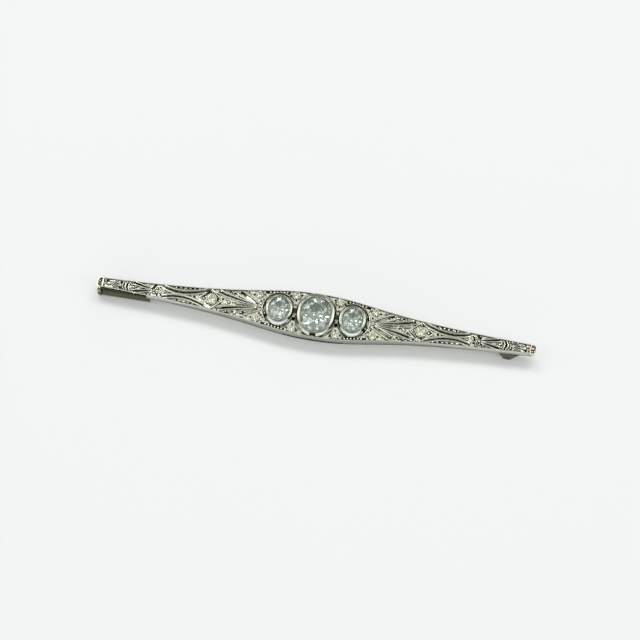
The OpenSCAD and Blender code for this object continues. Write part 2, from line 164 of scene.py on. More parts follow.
@dataclass
class MeshSketch:
    """Collects points and faces of one joined mesh."""

    name: str
    points: list[Triple] = field(default_factory=list)
    faces: list[Face] = field(default_factory=list)
    smooth: list[bool] = field(default_factory=list)
    # a grain's rings and its peak: radius and height of each ring as shares of the grain's radius
    grain_rings: tuple[Point, ...] = ((1.0, -0.02), (1.0, 0.25), (0.90, 0.62), (0.62, 0.88), (0.25, 1.0))
    grain_peak: float = 1.02
    grain_sides: int = 12
    # how deep a curved line is let into the ground, and where along it its ends are drawn in
    sink: float = 0.01
    draw_in: tuple[float, float] = (0.03, 0.08)

    def add(self, points: Iterable[Sequence[float]], faces: Iterable[Sequence[int]], smooth: bool,
            under: Iterable[Sequence[int]] = ()) -> None:
        """Adds a closed form.

        Args:
            points: the form's points.
            faces: its faces, by places in points.
            smooth: whether these faces are shaded smooth.
            under: the flat faces that close it where it sinks into the metal.
        """
        base = len(self.points)
        self.points += [tuple(map(float, p)) for p in points]
        for group, soft in ((faces, smooth), (under, False)):
            for f in group:
                self.faces.append(tuple(base + i for i in f))
                self.smooth.append(soft)

    def tube(self, sections: Sequence[Sequence[Sequence[float]]], shown: int, smooth: bool) -> None:
        """Adds a closed form through sections that have the same number of points.

        Args:
            sections: the points of each section, in order round it.
            shown: how many of the first sides of each section are on show. The rest sink into the metal.
            smooth: whether the sides on show are shaded smooth.
        """
        k, last = len(sections[0]), (len(sections) - 1) * len(sections[0])
        faces = skin(len(sections), k)
        seen = [f for i, f in enumerate(faces) if i % k < shown]
        under = [f for i, f in enumerate(faces) if i % k >= shown]
        under += [tuple(range(k - 1, -1, -1)), tuple(range(last, last + k))]
        self.add([point for section in sections for point in section], seen, smooth, under)

    def line(self, path: Sequence[Sequence[float]], half: float | Sequence[float],
             height: float | Sequence[float], base_z: float, profile: Profile) -> None:
        """Adds a raised line along a path.

        Args:
            path: x and y of the middle line.
            half: half the width, everywhere or at each point of the path.
            height: the height, everywhere or at each point of the path.
            base_z: the level that the line stands on.
            profile: its cross section.
        """
        pts = np.array(path, float)
        halves, heights = (np.broadcast_to(share, len(pts)) for share in (half, height))
        tangent = np.gradient(pts, axis=0)
        tangent /= np.linalg.norm(tangent, axis=1)[:, None]
        across = np.stack([-tangent[:, 1], tangent[:, 0]], axis=1)
        rows = profile.value[::-1]
        sections = [
            [(*(pts[i] + across[i] * share * halves[i]), base_z + rise * heights[i]) for share, rise in rows]
            for i in range(len(pts))
        ]
        self.tube(sections, len(rows) - 1, profile in (Profile.ROUND, Profile.CROWN))

    def curve(self, curve: Curve, width: Width, height: float, profile: Profile = Profile.ROUND,
              steps: int = 12, taper: float = 0.25) -> None:
        """Adds a raised line along a three-point curve, drawn in at both ends.

        Args:
            curve: its control points.
            width: its width, or the widths at its start, middle and end.
            height: its height over its foot.
            profile: its cross section.
            steps: how many lengths it is drawn in.
            taper: share of the width left at the very ends, where the height loses half as much.
        """
        widths = (width,) * 3 if isinstance(width, (int, float)) else tuple(width)
        tip, full = self.draw_in
        ts = np.concatenate([[0.0, tip], np.linspace(full, 1 - full, steps - 3), [1 - tip, 1.0]])
        fade = np.interp(ts, [0, full, 1 - full, 1], [taper, 1, 1, taper])
        halves = [along(tuple((w, 0) for w in widths), t)[0] / 2 * f for t, f in zip(ts, fade)]
        path = [along(curve, t) for t in ts]
        self.line(path, halves, height * (0.5 + 0.5 * fade), BAR.ground_z - self.sink, profile)

    def bead(self, x: float, y: float, r: float, base_z: float = BAR.ground_z, rise: float = 1.0) -> None:
        """Adds a round-topped grain.

        Args:
            x: its place along the bar.
            y: its place across the bar.
            r: its radius.
            base_z: the level that it stands on.
            rise: its height in radii.
        """
        rings, sides = self.grain_rings, self.grain_sides
        points = [p for share, h in rings for p in circle(x, y, r * share, base_z + r * rise * h, sides)]
        points.append((x, y, base_z + r * rise * self.grain_peak))
        last = (len(rings) - 1) * sides
        top = [(last + i, last + (i + 1) % sides, len(points) - 1) for i in range(sides)]
        self.add(points, skin(len(rings), sides) + top, True, [tuple(range(sides - 1, -1, -1))])

    def build(self, material: bpy.types.Material, slot: str = "white_metal") -> bpy.types.Object:
        """Makes the mesh object and lets it ride on the brooch.

        Args:
            material: its finish.
            slot: not used.

        Returns:
            The new object.
        """
        mesh = bpy.data.meshes.new(self.name)
        mesh.from_pydata([(x * MM, y * MM, z * MM) for x, y, z in self.points], [], self.faces)
        mesh.polygons.foreach_set("use_smooth", self.smooth)
        mesh.materials.append(material)
        mesh.update()
        made = bpy.data.objects.new(self.name, mesh)
        bpy.context.scene.collection.objects.link(made)
        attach(made, "root")
        LOG.info("%s: %d points, %d faces", self.name, len(self.points), len(self.faces))
        return made


# Finishes


@dataclass
class Wiring:
    """Adds shader nodes to one node tree and links them."""

    tree: bpy.types.NodeTree

    def feed(self, node: bpy.types.Node, inputs: Inputs) -> None:
        """Fills a node's inputs.

        Args:
            node: the node.
            inputs: for each input its value, or the output socket that feeds it.
        """
        for key, value in inputs.items():
            if isinstance(value, bpy.types.NodeSocket):
                self.tree.links.new(value, node.inputs[key])
            else:
                node.inputs[key].default_value = value

    def add(self, kind: str, inputs: Inputs = MappingProxyType({}), **options: object) -> bpy.types.Node:
        """Adds a shader node.

        Args:
            kind: its type, without the word ShaderNode.
            inputs: for each input its value, or the output socket that feeds it.
            options: the node's own settings.

        Returns:
            The new node.
        """
        node = self.tree.nodes.new("ShaderNode" + kind)
        for name, value in options.items():
            setattr(node, name, value)
        self.feed(node, inputs)
        return node


@dataclass
class NodeGroups:
    """Shader node groups that several finishes share."""

    cloud_scale: float = 2000.0
    cloud_detail: float = 4.0
    # the clouds' middle range, and how far it moves the edge of the tarnish and painted shade
    cloud_range: tuple[float, float] = (0.3, 0.7)
    cloud_sway: tuple[float, float] = (-0.16, 0.14)
    tarnish_and_shade_roughness: float = 0.6
    wave_detail: float = 2.0
    scratch_detail: float = 3.0
    scratch_stretch: Triple = (0.08, 1.0, 1.0)
    # the normal's height from the back of a piece to its sides
    back_range: tuple[float, float] = (-0.6, -0.1)

    def __post_init__(self) -> None:
        """Makes each group once."""
        self.patina_and_shade = self._make_patina_and_shade()
        self.burnish = self._burnish()
        self.satin = self._satin()

    def _new(self, name: str, inputs: Inputs, outputs: Sequence[str]) -> Wiring:
        """A new group with named sockets.

        Args:
            name: the group's name.
            inputs: the inputs' names and first values, a colour where the value has four numbers.
            outputs: the outputs' names, of which Color is a colour.

        Returns:
            The wiring of the group, which has its input and output nodes.
        """
        group = bpy.data.node_groups.new(name, "ShaderNodeTree")
        for label, value in inputs.items():
            kind = "NodeSocketColor" if isinstance(value, tuple) else "NodeSocketFloat"
            group.interface.new_socket(name=label, in_out="INPUT", socket_type=kind).default_value = value
        for label in outputs:
            kind = "NodeSocketColor" if label == "Color" else "NodeSocketFloat"
            group.interface.new_socket(name=label, in_out="OUTPUT", socket_type=kind)
        group.nodes.new("NodeGroupInput")
        group.nodes.new("NodeGroupOutput")
        return Wiring(group)

    def _make_patina_and_shade(self) -> bpy.types.NodeTree:
        """Dark tarnish and painted shade that lie in the recesses and thin out over the open metal.

        Returns:
            The group, which puts out a colour and a roughness.
        """
        wiring = self._new("recess_patina_and_painted_shade", {
            "Openness": 1.0, "Metal": (0.7, 0.7, 0.65, 1), "Tarnish And Shade": (0.05, 0.045, 0.02, 1),
            "Low": 0.35, "High": 0.85, "Roughness": 0.25}, ("Color", "Roughness"))
        given = wiring.tree.nodes["Group Input"].outputs
        place = wiring.add("TexCoord").outputs["Object"]
        cloud = wiring.add("TexNoise", {
            "Scale": self.cloud_scale, "Detail": self.cloud_detail, "Vector": place})
        sway = wiring.add("MapRange", {
            "From Min": self.cloud_range[0], "From Max": self.cloud_range[1],
            "To Min": self.cloud_sway[0], "To Max": self.cloud_sway[1], "Value": cloud.outputs["Fac"]})
        openness = wiring.add("Math", {0: given["Openness"], 1: sway.outputs["Result"]}, operation="ADD")
        mask = wiring.add("MapRange", {
            "Value": openness.outputs[0], "From Min": given["Low"], "From Max": given["High"]},
            interpolation_type="SMOOTHSTEP").outputs["Result"]
        tint = wiring.add("Mix", {
            "Factor": mask, "A": given["Tarnish And Shade"], "B": given["Metal"]}, data_type="RGBA")
        dull = wiring.add("Mix", {
            "Factor": mask, "A": self.tarnish_and_shade_roughness, "B": given["Roughness"]}, data_type="FLOAT")
        wiring.feed(wiring.tree.nodes["Group Output"], {
            "Color": tint.outputs["Result"], "Roughness": dull.outputs["Result"]})
        return wiring.tree

    def _burnish(self) -> bpy.types.NodeTree:
        """Hand-worked unevenness and fine scratches.

        Returns:
            The group, which puts out a height.
        """
        wiring = self._new("hand_burnish", {
            "Wave Scale": 1500.0, "Scratch Scale": 6000.0, "Scratches": 0.3}, ("Height",))
        given = wiring.tree.nodes["Group Input"].outputs
        place = wiring.add("TexCoord").outputs["Object"]
        wave = wiring.add("TexNoise", {
            "Detail": self.wave_detail, "Vector": place, "Scale": given["Wave Scale"]})
        stretch = wiring.add("Mapping", {"Scale": self.scratch_stretch, "Vector": place})
        scratch = wiring.add("TexNoise", {
            "Detail": self.scratch_detail, "Vector": stretch.outputs["Vector"],
            "Scale": given["Scratch Scale"]})
        fine = wiring.add("Math", {0: scratch.outputs["Fac"], 1: given["Scratches"]}, operation="MULTIPLY")
        total = wiring.add("Math", {0: wave.outputs["Fac"], 1: fine.outputs[0]}, operation="ADD")
        wiring.feed(wiring.tree.nodes["Group Output"], {"Height": total.outputs[0]})
        return wiring.tree

    def _satin(self) -> bpy.types.NodeTree:
        """Metal whose downward faces are brushed matt, so that they pass the floor's light on.

        Returns:
            The group, which puts out how metallic a face is.
        """
        wiring = self._new("satin_back", {"Upper": 1.0, "Back": 1.0}, ("Metallic",))
        given = wiring.tree.nodes["Group Input"].outputs
        normal = wiring.add("NewGeometry").outputs["Normal"]
        split = wiring.add("SeparateXYZ", {"Vector": normal})
        turn = wiring.add("MapRange", {
            "From Min": self.back_range[0], "From Max": self.back_range[1],
            "Value": split.outputs["Z"], "To Min": given["Back"], "To Max": given["Upper"]})
        wiring.feed(wiring.tree.nodes["Group Output"], {"Metallic": turn.outputs["Result"]})
        return wiring.tree


def new_material(name: str) -> tuple[bpy.types.Material, Wiring, bpy.types.Node]:
    """Makes a material.

    Args:
        name: its name.

    Returns:
        The new material, the wiring of its nodes and its shader.
    """
    material = bpy.data.materials.new(name)
    material.use_nodes = True
    return material, Wiring(material.node_tree), material.node_tree.nodes["Principled BSDF"]


@dataclass(frozen=True)
class MetalFinish:
    """A metal surface with tarnish and painted shade in its recesses, and hand-worked unevenness."""

    name: str
    metal: Colour
    tarnish_and_shade_colour: Colour = (0.016, 0.0155, 0.007)
    roughness: float = 0.24
    # how far a recess is felt, and how open the ground is where the tarnish and painted shade start to thin
    # and where they end
    reach: float = 0.60
    reach_samples: int = 12
    low: float = 0.44
    high: float = 0.93
    bump: float = 0.25
    bump_depth: float = 0.02
    wave_scale: float = 1500.0
    scratches: float = 0.3
    metallic: float = 1.0
    back_metallic: float = 1.0

    def make(self, groups: NodeGroups) -> bpy.types.Material:
        """Builds the material.

        Args:
            groups: the shared node groups.

        Returns:
            The new material.
        """
        material, wiring, shader = new_material(self.name)
        satin = wiring.add(
            "Group", {"Upper": self.metallic, "Back": self.back_metallic}, node_tree=groups.satin)
        # painted shade: ambient occlusion darkens the colour in recesses, along with the tarnish
        openness = wiring.add("AmbientOcclusion", {"Distance": self.reach * MM}, samples=self.reach_samples)
        patina_and_shade = wiring.add("Group", {
            "Metal": (*self.metal, 1), "Tarnish And Shade": (*self.tarnish_and_shade_colour, 1), "Low": self.low, "High": self.high,
            "Roughness": self.roughness, "Openness": openness.outputs["AO"]}, node_tree=groups.patina_and_shade)
        burnish = wiring.add(
            "Group", {"Wave Scale": self.wave_scale, "Scratches": self.scratches}, node_tree=groups.burnish)
        bump = wiring.add("Bump", {
            "Strength": self.bump, "Distance": self.bump_depth * MM, "Height": burnish.outputs["Height"]})
        wiring.feed(shader, {
            "Metallic": satin.outputs["Metallic"], "Base Color": patina_and_shade.outputs["Color"],
            "Roughness": patina_and_shade.outputs["Roughness"], "Normal": bump.outputs["Normal"]})
        return material


class Metal(Enum):
    """The brooch's metal finishes."""

    ENGRAVED = MetalFinish("engraved_white_metal", (0.85, 0.88, 0.71), back_metallic=0.2)
    POLISHED = MetalFinish(
        "polished_white_metal", (0.94, 0.96, 0.82), roughness=0.14, low=0.25, high=0.75, bump=0.15)
    RUBBED = MetalFinish("rubbed_white_metal", (0.32, 0.335, 0.28), roughness=0.22, low=0.3, high=0.8)
    RING = MetalFinish("worn_ring_metal", (0.76, 0.76, 0.64), roughness=0.2, low=0.1, high=0.5)
    # painted reflection: pale metal laid only on the near sides of the collets' skirts
    SKIRT_REFLECTION = MetalFinish(
        "painted_reflection_skirt_metal", (0.82, 0.90, 0.85), roughness=0.22, low=0.1, high=0.5, bump=0.1)
    # painted light and shade on the bar's long edges: a half-shaded band, a shaded line at the foot and a lit
    # band
    HALF_SHADE_EDGE = MetalFinish(
        "half_shade_edge_metal", (0.285, 0.30, 0.28), roughness=0.34, low=0.2, high=0.7,
        metallic=0.3, back_metallic=0.3)
    FOOT_SHADE_EDGE = MetalFinish(
        "foot_shade_edge_metal", (0.13, 0.14, 0.12), roughness=0.40, low=0.1, high=0.5,
        metallic=0.3, back_metallic=0.3)
    BRIGHT_EDGE = MetalFinish(
        "bright_edge_metal", (0.47, 0.50, 0.465), roughness=0.3, low=0.1, high=0.5,
        metallic=0.3, back_metallic=0.3)
    # near black: painted shade on the skirts and along the foot of the edges, tarnish and painted shade in
    # the dark grounds
    TARNISH_AND_SHADE = MetalFinish("tarnish_and_painted_shade_metal", (0.016, 0.0155, 0.008), roughness=0.5)
    FITTING = MetalFinish(
        "fitting_metal", (0.10, 0.10, 0.06), roughness=0.30, low=0.2, high=0.7, bump=0.6, wave_scale=900.0)
    POST = MetalFinish("light_post_metal", (0.36, 0.36, 0.25), roughness=0.28, low=0.1, high=0.6)
    RUST = MetalFinish("rust_stain", (0.33, 0.13, 0.09), tarnish_and_shade_colour=(0.10, 0.03, 0.02), roughness=0.6)


@dataclass(frozen=True)
class DiamondFinish:
    """A clear cut stone."""

    name: str
    tint: Colour = (0.55, 0.65, 0.555)
    clearness: float = 0.92
    roughness: float = 0.025
    ior: float = 2.417

    def make(self) -> bpy.types.Material:
        """Builds the material.

        Returns:
            The new material.
        """
        material, wiring, shader = new_material(self.name)
        wiring.feed(shader, {
            "Base Color": (*self.tint, 1), "Roughness": self.roughness,
            "Transmission Weight": self.clearness, "IOR": self.ior})
        return material


@dataclass(frozen=True)
class FloorFinish:
    """The matt white surface that the brooch lies on."""

    name: str = "white_board"
    colour: Colour = (0.566, 0.577, 0.573)
    roughness: float = 0.75
    specular: float = 0.2
    cloud_scale: float = 14.0
    cloud_share: float = 0.992

    def make(self) -> bpy.types.Material:
        """Builds the material.

        Returns:
            The new material.
        """
        material, wiring, shader = new_material(self.name)
        place = wiring.add("TexCoord").outputs["Object"]
        cloud = wiring.add("TexNoise", {"Scale": self.cloud_scale, "Vector": place})
        tint = wiring.add("Mix", {
            "A": (*(c * self.cloud_share for c in self.colour), 1), "B": (*self.colour, 1),
            "Factor": cloud.outputs["Fac"]}, data_type="RGBA")
        wiring.feed(shader, {
            "Roughness": self.roughness, "Specular IOR Level": self.specular,
            "Base Color": tint.outputs["Result"]})
        return material


# Raised work


@dataclass
class RaisedRibs:
    """The ribs of the pattern, rounded over the solid's flat ones."""

    width: float = 0.215
    height: float = 0.215
    # distance of a crescent's ribs from its middle, and their width, and the same for the near inner ribs
    crescent_gap: float = 0.31
    crescent_width: float = 0.26
    near_gap: float = 0.26
    near_width: float = 0.36
    crescent: Curve = ((16.45, 1.36), (20.3, -0.40), (23.4, 0.88))
    end_bar: Curve = ((28.45, -0.68), (29.05, 0.0), (28.45, 0.68))
    end_bar_gap: float = 0.25
    end_bar_width: float = 0.15
    # curves that are the same in all four quarters, each with its width
    quarter_ribs: tuple[tuple[Curve, Width], ...] = (
        (((9.0, 0.10), (12.9, 0.42), (15.9, 1.36)), width),
        (((9.2, 0.30), (12.9, 1.02), (14.7, 1.66)), width),
        (((8.9, 0.18), (10.8, 0.80), (12.3, 1.62)), (0.14, 0.40, 0.16)),
        (((8.3, 0.42), (9.9, 1.30), (11.2, 1.98)), width),
        (straight((25.2, 0.02), (27.9, 0.45)), (0.16, 0.21, 0.21)),
        (straight((25.0, 0.30), (27.7, 0.93)), width),
        (((29.6, 0.02), (30.4, 0.62), (31.2, 0.02)), (0.14, 0.21, 0.14)),
    )
    # the same for the middle line of both ends
    middle_ribs: tuple[tuple[Curve, Width], ...] = (
        (straight((29.8, 0), (31.0, 0)), (0.12, 0.26, 0.12)),
        (straight((8.2, 0), (12.2, 0)), (0.14, 0.21, 0.12)),
    )
    # legs of a lozenge's frame, and the right lozenge's near inner leg, which stands back from the opening
    frame_inner: Curve = straight((14.2, 0), (15.9, 1.54))
    frame_outer: Curve = straight((15.9, 1.54), (17.75, 0))
    near_leg: Curve = straight((13.95, -0.20), (15.75, -1.66))

    def ribs(self) -> list[tuple[Curve, Width]]:
        """All the ribs.

        Returns:
            The curve and the width of each.
        """
        quarter = ((moved(self.crescent, 0, self.crescent_gap), self.crescent_width), *self.quarter_ribs)
        ends = [(moved(self.end_bar, side * self.end_bar_gap, 0), self.end_bar_width) for side in (1, -1)]
        found = [(flipped(curve, *signs), width) for curve, width in quarter for signs in QUARTERS]
        ends += self.middle_ribs
        found += [(flipped(curve, *signs), width) for curve, width in ends for signs in ENDS]
        far, near = (self.crescent_gap, self.crescent_width), (self.near_gap, self.near_width)
        for sx, sy in QUARTERS:
            gap, width = far if sy > 0 else near
            found.append((flipped(moved(self.crescent, 0, -gap), sx, sy), width))
        legs = [flipped(self.frame_inner, *signs) for signs in QUARTERS if signs != (1, -1)]
        legs += [flipped(self.frame_outer, 1, sy) for sy in (1, -1)]
        return found + [(leg, self.width) for leg in (*legs, self.near_leg)]

    def build(self, material: bpy.types.Material) -> bpy.types.Object:
        """Builds all the ribs as one mesh.

        Args:
            material: the finish.

        Returns:
            The new object.
        """
        sketch = MeshSketch("raised_ribs")
        for curve, width in self.ribs():
            sketch.curve(curve, width, self.height)
        return sketch.build(material)


@dataclass
class Border:
    """The rounded crown of the border along both edges."""

    inset: float = 0.075
    half: float = 0.066
    rise: float = 0.05
    sink: float = 0.005
    steps: int = 120
    end_gap: float = 0.35

    def build(self, material: bpy.types.Material) -> bpy.types.Object:
        """Builds the crowns as one mesh.

        Args:
            material: the finish.

        Returns:
            The new object.
        """
        sketch = MeshSketch("border_crown")
        xs = np.linspace(-(BAR.half_length - self.end_gap), BAR.half_length - self.end_gap, self.steps)
        for side in (1, -1):
            path = [(x, side * (BAR.half_width(x) - self.inset)) for x in xs]
            sketch.line(path, self.half, self.rise, BAR.top_z - self.sink, Profile.CROWN)
        return sketch.build(material)


@dataclass
class Millegrain:
    """Rows of beads and single grains."""

    # the row in each crescent
    row_from: float = 17.15
    row_pitch: float = 0.7
    row_count: int = 7
    row_inset: float = 0.29
    row_bead: float = 0.15
    small_row_bead: float = 0.10
    row_rise: float = 1.25
    # the row along the edge of the middle
    rim_from: float = 4.75
    rim_to: float = 7.7
    rim_pitch: float = 0.50
    rim_inset: float = 0.33
    rim_bead: float = 0.17
    rise: float = 1.2
    # how much bigger the single grains are than their list says
    swell: float = 1.2
    # grains that are the same in all four quarters
    quarter_grains: tuple[Disc, ...] = (
        (12.75, 1.55, 0.13), (13.45, 1.52, 0.13), (12.10, 1.62, 0.13), (14.6, 1.50, 0.11),
        (15.85, 1.14, 0.12), (24.12, 0.34, 0.12), (28.05, 0.40, 0.13), (29.35, 0.30, 0.13),
        (29.15, 0.58, 0.12), (30.35, 0.62, 0.11), (26.6, 0.72, 0.10),
    )
    # grains on the middle line at both ends
    middle_grains: tuple[Disc, ...] = (
        (13.2, 0.0, 0.16), (17.05, 0.0, 0.16), (14.62, 0.0, 0.15), (18.75, 0.0, 0.14), (22.85, 0.0, 0.13),
        (24.65, 0.0, 0.16), (27.75, 0.0, 0.17), (29.45, 0.0, 0.13), (31.5, 0.0, 0.24),
    )
    # grains that stand in one place only
    lone_grains: tuple[Disc, ...] = (
        (-25.15, -0.56, 0.13), (-32.0, 0.40, 0.13), (-32.84, 0.22, 0.13), (-32.82, -0.20, 0.10),
        (-26.6, 0.05, 0.12), (-31.95, 0.05, 0.13), (11.6, 1.44, 0.13), (12.4, 1.60, 0.14), (12.9, 0.22, 0.13),
        (13.35, -0.12, 0.14), (18.75, 1.02, 0.14), (19.3, 1.10, 0.14), (20.0, 1.00, 0.14), (20.9, 0.98, 0.14),
        (-24.55, -0.42, 0.15), (24.75, -0.46, 0.13), (25.3, -0.66, 0.12), (24.25, -0.70, 0.12),
        (20.8, -0.98, 0.15), (21.6, -0.92, 0.15), (22.4, -0.86, 0.15), (28.0, 0.12, 0.15), (29.6, 0.60, 0.12),
        (32.75, 0.12, 0.17), (32.7, -0.34, 0.12),
    )

    def single_grains(self) -> list[Disc]:
        """Gathers the grains that aren't in a row.

        Returns:
            The place and radius of each.
        """
        grains = [(sx * x, sy * y, r) for x, y, r in self.quarter_grains for sx, sy in QUARTERS]
        grains += [(sx * x, y, r) for x, y, r in self.middle_grains for sx, _ in ENDS]
        return [(x, y, r * self.swell) for x, y, r in (*grains, *self.lone_grains)]

    def build(self, material: bpy.types.Material) -> bpy.types.Object:
        """Builds all the beads as one mesh.

        Args:
            material: the finish.

        Returns:
            The new object.
        """
        sketch = MeshSketch("millegrain")
        row = [self.row_from + i * self.row_pitch for i in range(self.row_count)]
        rim = np.arange(self.rim_from, self.rim_to, self.rim_pitch)
        for sx, sy in QUARTERS:
            bead = self.small_row_bead if (sx, sy) == (-1, -1) else self.row_bead
            for x in row:
                sketch.bead(sx * x, sy * (BAR.half_width(x) - self.row_inset), bead, rise=self.row_rise)
            for x in rim:
                sketch.bead(sx * x, sy * (BAR.half_width(x) - self.rim_inset), self.rim_bead, rise=self.rise)
        for x, y, r in self.single_grains():
            sketch.bead(x, y, r, rise=self.rise)
        return sketch.build(material)


@dataclass
class StoneGrains:
    """The grains that hold the small stones, four to a stone, turned to suit each cell."""

    # how far outside the girdle the grains stand
    reach: float = 0.0455
    grain: float = 0.13
    sink: float = 0.02
    rise: float = 1.05
    # x, y, girdle radius, first angle
    stones: tuple[tuple[float, float, float, float], ...] = (
        (3.33, 2.62, 0.50, 30.0), (8.85, 1.90, 0.46, 10.0), (15.85, 0.0, 0.72, 45.0), (23.4, 0.0, 0.32, 45.0),
    )

    def build(self, material: bpy.types.Material) -> bpy.types.Object:
        """Builds all the grains as one mesh.

        Args:
            material: the finish.

        Returns:
            The new object.
        """
        sketch = MeshSketch("setting_grains")
        for x, y, r, first in self.stones:
            for sx, sy in QUARTERS if y else ENDS:
                for k in range(4):
                    a = math.radians(first + 90 * k)
                    px, py = x + (r + self.reach) * math.cos(a), y + (r + self.reach) * math.sin(a)
                    sketch.bead(sx * px, sy * py, self.grain, base_z=BAR.top_z - self.sink, rise=self.rise)
        return sketch.build(material)


@dataclass
class BrightCuts:
    """Bright-cut leaves: narrow gables with crisp facets between the ribs."""

    steps: int = 9
    height: float = 0.11
    lone_height: float = 0.10
    leaf_taper: float = 0.1
    # shares of a leaf's listed width at its start, middle and end
    quarter_shares: Triple = (0.4, 1.6, 0.1)
    lone_shares: Triple = (0.8, 1.8, 0.5)
    # height of a facet's far side over its width
    facet_slope: float = 0.33
    facet_taper: float = 0.3
    quarter_leaves: tuple[Leaf, ...] = (
        (9.3, 0.62, 11.1, 1.62, 0.30), (10.9, 0.70, 13.2, 1.22, 0.22), (13.0, 0.20, 14.3, 0.55, 0.20),
        (15.0, 1.30, 13.9, 1.05, 0.18), (17.0, 0.85, 18.6, 0.20, 0.20), (7.75, 1.35, 8.25, 2.35, 0.22),
        (9.9, 1.75, 10.9, 2.05, 0.22), (2.75, 2.35, 2.35, 2.95, 0.18), (4.05, 2.30, 4.55, 2.72, 0.18),
        (30.0, 0.30, 31.0, 0.12, 0.14), (25.6, 0.45, 27.5, 0.78, 0.12), (21.9, 0.30, 23.1, 0.02, 0.16),
    )
    # broad leaves that are cut in one place only
    lone_leaves: tuple[Leaf, ...] = (
        (-12.6, 0.02, -11.3, 0.0, 0.34), (13.2, 0.24, 14.4, 0.44, 0.34),
        (27.1, -0.12, 27.9, -0.26, 0.22), (29.9, -0.55, 31.0, -0.60, 0.12),
    )
    # broad one-sided facets that slope toward the near edge
    facets: tuple[Leaf, ...] = (
        (-17.85, -0.30, -15.62, -1.60, 0.42), (-11.8, -1.70, -10.3, -1.96, 0.30),
        (-10.75, 1.28, -9.2, 0.32, 0.34), (10.5, -1.84, 11.9, -1.60, 0.30),
    )

    def build(self, material: bpy.types.Material) -> bpy.types.Object:
        """Builds all the leaves and facets as one mesh.

        Args:
            material: the finish.

        Returns:
            The new object.
        """
        sketch = MeshSketch("bright_cuts")
        for x0, y0, x1, y1, width in self.facets:
            facet, height = straight((x0, y0), (x1, y1)), width * self.facet_slope
            sketch.curve(facet, width, height, Profile.WEDGE, self.steps, self.facet_taper)
        for leaves, shares, height, mirrors in (
                (self.lone_leaves, self.lone_shares, self.lone_height, ((1, 1),)),
                (self.quarter_leaves, self.quarter_shares, self.height, QUARTERS)):
            for x0, y0, x1, y1, width in leaves:
                widths = tuple(width * share for share in shares)
                for signs in mirrors:
                    leaf = flipped(straight((x0, y0), (x1, y1)), *signs)
                    sketch.curve(leaf, widths, height, Profile.GABLE, self.steps, self.leaf_taper)
        return sketch.build(material)


@dataclass(frozen=True)
class Collet:
    """One main collet: where it stands and what runs round it. Spans are in degrees."""

    x: float
    girdle: float
    # extra half length across the bar
    stretch: float
    # the fine ring's distance outside the rim, and its spans
    ring_gap: float
    ring_spans: tuple[Point, ...]
    # how far the foot of the painted reflection on the skirt stands out, and its spans
    spread: float
    bright_spans: tuple[Point, ...]

    def shift(self, angle: float) -> float:
        """How far the oval moves a point of the circle across the bar, for an angle in radians."""
        return self.stretch if math.sin(angle) > 0 else -self.stretch


